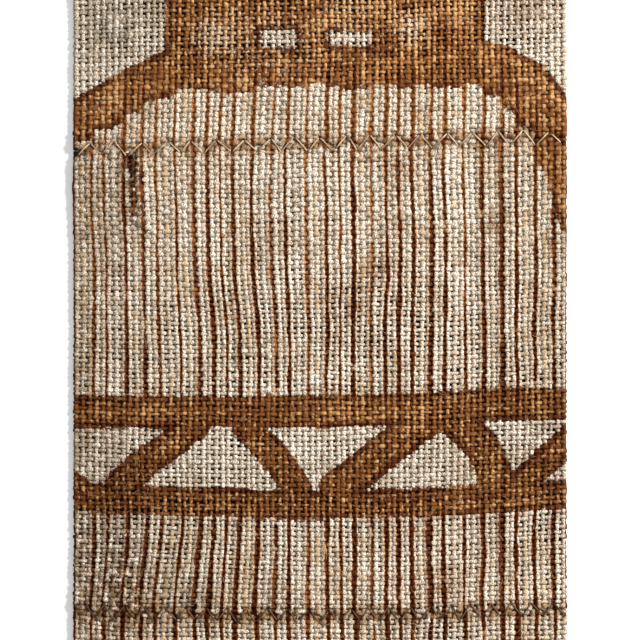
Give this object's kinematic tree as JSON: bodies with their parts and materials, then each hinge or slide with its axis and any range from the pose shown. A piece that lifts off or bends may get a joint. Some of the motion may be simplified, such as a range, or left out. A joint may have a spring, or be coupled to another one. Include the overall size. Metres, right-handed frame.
{
  "type": "korhogo cloth",
  "caption": "Cut length of thick hand-woven cotton cloth, narrow strips sewn edge to edge, with painted brown bands, triangles and fine hatching.",
  "frame": {"origin": "on the surface that the cloth lies on, below the middle of the whole piece", "axes": "+X along the strips and their warp, towards the right-hand cut end; +Y across the strips, towards the top of the pattern; +Z out of the painted face"},
  "size_m": [0.1164, 0.33, 0.0023],
  "materials": {
    "painted_cotton": "coarse matt plain weave in unbleached handspun cotton, painted with brown plant dye"
  },
  "bodies": {
    "root": {"strip_upper": "painted_cotton", "strip_middle": "painted_cotton", "strip_lower": "painted_cotton"}
  },
  "joints": []
}
